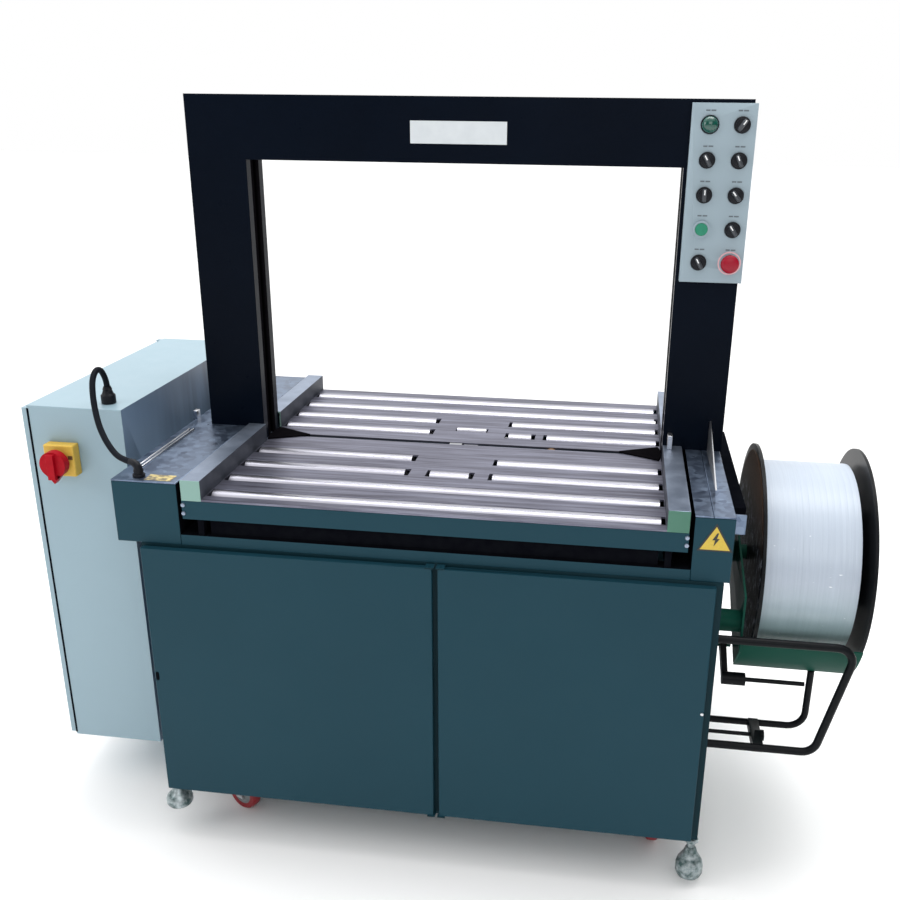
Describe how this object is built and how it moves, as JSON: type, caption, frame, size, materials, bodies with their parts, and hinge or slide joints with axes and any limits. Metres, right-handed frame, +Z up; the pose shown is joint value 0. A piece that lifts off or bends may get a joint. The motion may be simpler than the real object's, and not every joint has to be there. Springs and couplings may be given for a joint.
{
  "type": "semi automatic strapping machine",
  "caption": "Arch strapping machine: powered roller table with a rectangular strap arch, control panel, cabinet on casters and feet, electrical box and side strap reel.",
  "frame": {"origin": "bottom centre of the bounding box of everything but the lead, on the floor", "axes": "+X along the rollers towards the strap reel, +Y from the operator's side to the back, +Z up"},
  "size_m": [1.74, 0.828, 1.53],
  "materials": {
    "teal_paint": "semi-gloss powder coat",
    "navy_paint": "semi-gloss powder coat",
    "rail_paint": "light green enamel",
    "box_paint": "fine textured paint",
    "bracket_paint": "green enamel",
    "deck_steel": "brushed",
    "galvanised": "galvanised sheet",
    "roller_steel": "bright zinc plate",
    "mechanism": "machined",
    "foot_iron": "painted casting",
    "wheel_rubber": "red polyurethane",
    "panel_face": "satin",
    "black_plastic": "moulded",
    "black_rod": "gloss enamel",
    "green_push": "moulded",
    "green_lens": "translucent lens",
    "red_plastic": "moulded",
    "yellow_plastic": "moulded",
    "cable_rubber": "smooth sheath",
    "reel_board": "dark moulded flange",
    "strap_plastic": "polypropylene strap",
    "feed_urethane": "polyurethane"
  },
  "bodies": {
    "machine": {"cabinet_body": "teal_paint", "rear_panel": "teal_paint", "levelling_feet": "foot_iron", "caster_forks_rear": "galvanised", "table_frame": "teal_paint", "side_rails": "rail_paint", "left_housing": "teal_paint", "right_housing": "teal_paint", "top_cover_plates": "galvanised", "front_deck": "deck_steel", "rear_deck": "deck_steel", "arch_left_leg": "navy_paint", "arch_top_beam": "navy_paint", "arch_right_leg": "navy_paint", "arch_track": "navy_paint", "control_panel": "panel_face", "pilot_lamp": "green_lens", "electrical_box": "box_paint", "isolator_base": "yellow_plastic", "lead_gland": "black_plastic", "lead": "cable_rubber", "lead_plug": "black_plastic", "dispenser_frame": "black_rod", "dispenser_bracket": "bracket_paint", "sealing_head": "mechanism", "cable_trunking": "black_plastic"},
    "left_door": {"front_door_left": "teal_paint"},
    "right_door": {"front_door_right": "teal_paint"},
    "box_door": {"electrical_door": "box_paint"},
    "isolator": {"isolator_knob": "red_plastic"},
    "selector_1_knob": {"selector_1": "black_plastic"},
    "selector_2_knob": {"selector_2": "black_plastic"},
    "selector_3_knob": {"selector_3": "black_plastic"},
    "selector_4_knob": {"selector_4": "black_plastic"},
    "selector_5_knob": {"selector_5": "black_plastic"},
    "selector_6_knob": {"selector_6": "black_plastic"},
    "selector_7_knob": {"selector_7": "black_plastic"},
    "start_push": {"start_button": "green_push"},
    "estop_push": {"estop_button": "red_plastic"},
    "front_row_1": {"front_roller_1": "roller_steel"},
    "front_row_2": {"front_roller_2": "roller_steel"},
    "front_row_3": {"front_roller_3": "roller_steel"},
    "front_row_4": {"front_roller_4": "roller_steel"},
    "rear_row_1": {"rear_roller_1": "roller_steel"},
    "rear_row_2": {"rear_roller_2": "roller_steel"},
    "rear_row_3": {"rear_roller_3": "roller_steel"},
    "rear_row_4": {"rear_roller_4": "roller_steel"},
    "idler": {"rear_idler": "roller_steel"},
    "reel": {"reel_flanges": "reel_board", "strap_coil": "strap_plastic"},
    "cams": {"cam_shaft": "mechanism"},
    "feed": {"feed_wheel": "feed_urethane"},
    "pinch": {"pinch_wheel": "feed_urethane"},
    "tension_lever": {"tension_arm": "black_rod"},
    "caster_left": {"caster_fork_left": "galvanised"},
    "caster_right": {"caster_fork_right": "galvanised"},
    "left_caster_wheel": {"wheel_front_left": "wheel_rubber"},
    "right_caster_wheel": {"wheel_front_right": "wheel_rubber"},
    "rear_left_wheel": {"wheel_rear_left": "wheel_rubber"},
    "rear_right_wheel": {"wheel_rear_right": "wheel_rubber"}
  },
  "joints": [
    {"name": "left_door_hinge", "type": "hinge", "parent": "machine", "child": "left_door", "pos_m": [0.024, -0.407, 0.4], "axis": [0, 0, 1], "range_deg": [0, 85]},
    {"name": "right_door_hinge", "type": "hinge", "parent": "machine", "child": "right_door", "pos_m": [0.045, -0.407, 0.4], "axis": [0, 0, -1], "range_deg": [0, 85]},
    {"name": "box_door_hinge", "type": "hinge", "parent": "machine", "child": "box_door", "pos_m": [-0.864, 0.396, 0.52], "axis": [0, 0, -1], "range_deg": [0, 100]},
    {"name": "isolator_turn", "type": "hinge", "parent": "machine", "child": "isolator", "pos_m": [-0.782, -0.276, 0.812], "axis": [0, 1, 0], "range_deg": [0, 90]},
    {"name": "selector_1_turn", "type": "hinge", "parent": "machine", "child": "selector_1_knob", "pos_m": [0.56, -0.039, 1.484], "axis": [0, 1, 0], "range_deg": [-45, 45]},
    {"name": "selector_2_turn", "type": "hinge", "parent": "machine", "child": "selector_2_knob", "pos_m": [0.5, -0.039, 1.4195], "axis": [0, 1, 0], "range_deg": [-45, 45]},
    {"name": "selector_3_turn", "type": "hinge", "parent": "machine", "child": "selector_3_knob", "pos_m": [0.56, -0.039, 1.4195], "axis": [0, 1, 0], "range_deg": [-45, 45]},
    {"name": "selector_4_turn", "type": "hinge", "parent": "machine", "child": "selector_4_knob", "pos_m": [0.5, -0.039, 1.355], "axis": [0, 1, 0], "range_deg": [-45, 45]},
    {"name": "selector_5_turn", "type": "hinge", "parent": "machine", "child": "selector_5_knob", "pos_m": [0.56, -0.039, 1.355], "axis": [0, 1, 0], "range_deg": [-45, 45]},
    {"name": "selector_6_turn", "type": "hinge", "parent": "machine", "child": "selector_6_knob", "pos_m": [0.56, -0.039, 1.2905], "axis": [0, 1, 0], "range_deg": [-45, 45]},
    {"name": "selector_7_turn", "type": "hinge", "parent": "machine", "child": "selector_7_knob", "pos_m": [0.5, -0.039, 1.226], "axis": [0, 1, 0], "range_deg": [-45, 45]},
    {"name": "start_press", "type": "slide", "parent": "machine", "child": "start_push", "axis": [0, 1, 0], "range_m": [0, 0.004], "stiffness_N_per_m": 400, "springref_m": -0.002},
    {"name": "estop_press", "type": "slide", "parent": "machine", "child": "estop_push", "axis": [0, 1, 0], "range_m": [0, 0.005]},
    {"name": "front_row_1_spin", "type": "hinge", "parent": "machine", "child": "front_row_1", "pos_m": [0.018, -0.354, 0.782], "axis": [1, 0, 0], "continuous": true},
    {"name": "front_row_2_spin", "type": "hinge", "parent": "machine", "child": "front_row_2", "pos_m": [0.018, -0.266, 0.782], "axis": [1, 0, 0], "continuous": true},
    {"name": "front_row_3_spin", "type": "hinge", "parent": "machine", "child": "front_row_3", "pos_m": [0.018, -0.178, 0.782], "axis": [1, 0, 0], "continuous": true},
    {"name": "front_row_4_spin", "type": "hinge", "parent": "machine", "child": "front_row_4", "pos_m": [0.018, -0.09, 0.782], "axis": [1, 0, 0], "continuous": true},
    {"name": "rear_row_1_spin", "type": "hinge", "parent": "machine", "child": "rear_row_1", "pos_m": [0.018, 0.1, 0.782], "axis": [1, 0, 0], "continuous": true},
    {"name": "rear_row_2_spin", "type": "hinge", "parent": "machine", "child": "rear_row_2", "pos_m": [0.018, 0.18567, 0.782], "axis": [1, 0, 0], "continuous": true},
    {"name": "rear_row_3_spin", "type": "hinge", "parent": "machine", "child": "rear_row_3", "pos_m": [0.018, 0.27133, 0.782], "axis": [1, 0, 0], "continuous": true},
    {"name": "rear_row_4_spin", "type": "hinge", "parent": "machine", "child": "rear_row_4", "pos_m": [0.018, 0.357, 0.782], "axis": [1, 0, 0], "continuous": true},
    {"name": "idler_spin", "type": "hinge", "parent": "machine", "child": "idler", "pos_m": [0.018, 0.128, 0.791], "axis": [1, 0, 0], "continuous": true},
    {"name": "reel_spin", "type": "hinge", "parent": "machine", "child": "reel", "pos_m": [0.758, -0.096, 0.633], "axis": [1, 0, 0], "continuous": true},
    {"name": "cam_shaft_spin", "type": "hinge", "parent": "machine", "child": "cams", "pos_m": [0.018, 0.024, 0.757], "axis": [1, 0, 0], "continuous": true},
    {"name": "feed_spin", "type": "hinge", "parent": "machine", "child": "feed", "pos_m": [0.218, 0.024, 0.748], "axis": [0, 1, 0], "continuous": true},
    {"name": "pinch_spin", "type": "hinge", "parent": "machine", "child": "pinch", "pos_m": [0.218, 0.024, 0.7826], "axis": [0, 1, 0], "continuous": true},
    {"name": "tension_lever_pivot", "type": "hinge", "parent": "machine", "child": "tension_lever", "pos_m": [0.658, -0.206, 0.47], "axis": [1, 0, 0], "range_deg": [0, 25], "stiffness_Nm_per_rad": 4, "springref_deg": -20.05},
    {"name": "caster_left_swivel", "type": "hinge", "parent": "machine", "child": "caster_left", "pos_m": [-0.455, -0.276, 0.11], "axis": [0, 0, 1], "continuous": true},
    {"name": "caster_right_swivel", "type": "hinge", "parent": "machine", "child": "caster_right", "pos_m": [0.487, -0.276, 0.11], "axis": [0, 0, 1], "continuous": true},
    {"name": "left_wheel_spin", "type": "hinge", "parent": "caster_left", "child": "left_caster_wheel", "pos_m": [-0.43234, -0.28657, 0.04], "axis": [0.4226, 0.9063, 0], "continuous": true},
    {"name": "right_wheel_spin", "type": "hinge", "parent": "caster_right", "child": "right_caster_wheel", "pos_m": [0.487, -0.251, 0.04], "axis": [1, 0, 0], "continuous": true},
    {"name": "rear_left_wheel_spin", "type": "hinge", "parent": "machine", "child": "rear_left_wheel", "pos_m": [-0.455, 0.239, 0.04], "axis": [1, 0, 0], "continuous": true},
    {"name": "rear_right_wheel_spin", "type": "hinge", "parent": "machine", "child": "rear_right_wheel", "pos_m": [0.487, 0.239, 0.04], "axis": [1, 0, 0], "continuous": true}
  ],
  "couplings": [
    {"joint": "front_row_2_spin", "follows": "front_row_1_spin", "ratio": 1},
    {"joint": "front_row_3_spin", "follows": "front_row_1_spin", "ratio": 1},
    {"joint": "front_row_4_spin", "follows": "front_row_1_spin", "ratio": 1},
    {"joint": "rear_row_1_spin", "follows": "front_row_1_spin", "ratio": 1},
    {"joint": "rear_row_2_spin", "follows": "front_row_1_spin", "ratio": 1},
    {"joint": "rear_row_3_spin", "follows": "front_row_1_spin", "ratio": 1},
    {"joint": "rear_row_4_spin", "follows": "front_row_1_spin", "ratio": 1},
    {"joint": "pinch_spin", "follows": "feed_spin", "ratio": -1.4286}
  ]
}
